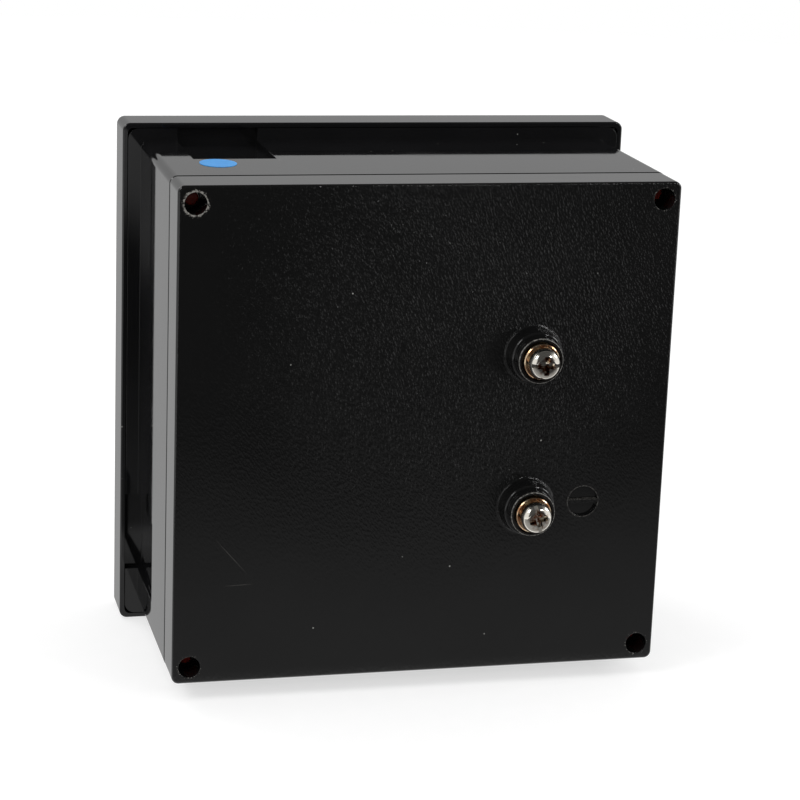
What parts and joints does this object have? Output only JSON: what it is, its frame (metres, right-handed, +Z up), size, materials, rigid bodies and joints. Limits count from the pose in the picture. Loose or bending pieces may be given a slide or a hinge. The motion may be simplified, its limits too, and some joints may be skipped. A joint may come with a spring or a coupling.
{
  "type": "analog panel meter",
  "caption": "Square flush panel meter with a quarter circle scale, a turning pointer on a moving coil, two rear screw terminals and slots for mounting clips.",
  "frame": {"origin": "centre of the plane where the front flange meets the panel", "axes": "+Z up, +Y to the rear through the panel, +X to the right seen from the front"},
  "size_m": [0.12, 0.0777, 0.12],
  "materials": {
    "bezel_black": "moulded black plastic, satin with worn edges",
    "case_black": "moulded black phenolic, smooth and glossy on the walls",
    "cover_black": "moulded black phenolic with a fine pebbled grain",
    "window_clear": "clear pane",
    "gasket_rubber": "thin rubber gasket",
    "steel_screws": "bright zinc plated steel",
    "red_lacquer": "red sealing lacquer",
    "blue_label": "plain blue paper sticker",
    "bush_brass": "turned brass",
    "tinned_brass": "tinned brass sheet",
    "washer_brass": "yellow passivated washer",
    "nickel_screw": "nickel plated screw",
    "frame_alloy": "die cast alloy",
    "bridge_alloy": "stamped aluminium",
    "soft_iron": "plated soft iron",
    "magnet_grey": "cast magnet alloy",
    "copper_winding": "enamelled copper wire",
    "former_aluminium": "thin aluminium sheet",
    "pivot_steel": "hardened steel",
    "pointer_black": "thin aluminium painted black",
    "spring_bronze": "phosphor bronze strip",
    "dial_white": "white enamelled aluminium with a black scale",
    "board_laminate": "brown paper laminate",
    "resistor_enamel": "green enamel on ceramic",
    "rectifier_black": "moulded black epoxy",
    "red_insulation": "red insulated wire"
  },
  "bodies": {
    "case": {"front_cover": "bezel_black", "window_pane": "window_clear", "window_gasket": "gasket_rubber", "case_body": "case_black", "rear_cover": "cover_black", "case_screws": "steel_screws", "seal_lacquer": "red_lacquer", "oval_label": "blue_label", "movement_frame": "frame_alloy", "frame_screws": "steel_screws", "yoke_screws": "steel_screws", "yoke_ring": "soft_iron", "pole_shoe_upper": "soft_iron", "pole_shoe_lower": "soft_iron", "magnet_upper": "magnet_grey", "magnet_lower": "magnet_grey", "iron_core": "soft_iron", "core_strap": "bush_brass", "bridge_posts": "bush_brass", "front_bridge": "bridge_alloy", "bridge_screws": "steel_screws", "jewel_screw_front": "bush_brass", "jewel_screw_rear": "bush_brass", "jewel_nut": "bush_brass", "rear_spring_stud": "bush_brass", "dial_plate": "dial_white", "dial_screws": "steel_screws", "pointer_stops": "rectifier_black", "circuit_board": "board_laminate", "board_screws": "steel_screws", "resistor_left": "resistor_enamel", "resistor_right": "resistor_enamel", "rectifier": "rectifier_black", "coil_leads": "red_insulation", "lead_upper": "red_insulation", "lead_lower": "red_insulation", "terminal_bush_upper": "bush_brass", "solder_tag_upper": "tinned_brass", "bush_nut_upper": "bush_brass", "terminal_bush_lower": "bush_brass", "solder_tag_lower": "tinned_brass", "bush_nut_lower": "bush_brass"},
    "moving_coil": {"coil_former": "former_aluminium", "coil_winding": "copper_winding", "staff_front": "pivot_steel", "staff_rear": "pivot_steel", "pointer": "pointer_black", "balance_weights": "bush_brass", "spring_collets": "bush_brass", "hairspring_front": "spring_bronze", "hairspring_rear": "spring_bronze"},
    "zero_adjuster": {"zero_adjuster": "bezel_black", "adjuster_clip": "pivot_steel"},
    "zero_lever": {"zero_lever": "spring_bronze"},
    "terminal_washers_upper": {"flat_washer_upper": "washer_brass", "spring_washer_upper": "washer_brass"},
    "terminal_screw_upper": {"terminal_screw_upper": "nickel_screw"},
    "terminal_washers_lower": {"flat_washer_lower": "washer_brass", "spring_washer_lower": "washer_brass"},
    "terminal_screw_lower": {"terminal_screw_lower": "nickel_screw"}
  },
  "joints": [
    {"name": "pointer_turn", "type": "hinge", "parent": "case", "child": "moving_coil", "pos_m": [0.032, 0, -0.032], "axis": [0, 1, 0], "range_deg": [-2, 92], "stiffness_Nm_per_rad": 0.00005, "deforming": ["hairspring_front", "hairspring_rear"]},
    {"name": "zero_adjust", "type": "hinge", "parent": "case", "child": "zero_adjuster", "pos_m": [0.03978, -0.009, -0.03978], "axis": [0, 1, 0], "range_deg": [-40, 40]},
    {"name": "zero_lever_turn", "type": "hinge", "parent": "case", "child": "zero_lever", "pos_m": [0.032, 0, -0.032], "axis": [0, 1, 0], "range_deg": [-4, 4]},
    {"name": "washers_upper_slide", "type": "slide", "parent": "case", "child": "terminal_washers_upper", "axis": [0, 1, 0], "range_m": [0, 0.003]},
    {"name": "screw_upper_turn", "type": "hinge", "parent": "terminal_washers_upper", "child": "terminal_screw_upper", "pos_m": [-0.0235, 0.0627, 0.0175], "axis": [0, 1, 0], "range_deg": [0, 1800.1]},
    {"name": "washers_lower_slide", "type": "slide", "parent": "case", "child": "terminal_washers_lower", "axis": [0, 1, 0], "range_m": [0, 0.003]},
    {"name": "screw_lower_turn", "type": "hinge", "parent": "terminal_washers_lower", "child": "terminal_screw_lower", "pos_m": [-0.0235, 0.0627, -0.0175], "axis": [0, 1, 0], "range_deg": [0, 1800.1]}
  ],
  "couplings": [
    {"joint": "zero_lever_turn", "follows": "zero_adjust", "ratio": 0.098361},
    {"joint": "screw_upper_turn", "follows": "washers_upper_slide", "rad_per_m": 10472},
    {"joint": "screw_lower_turn", "follows": "washers_lower_slide", "rad_per_m": 10472}
  ]
}
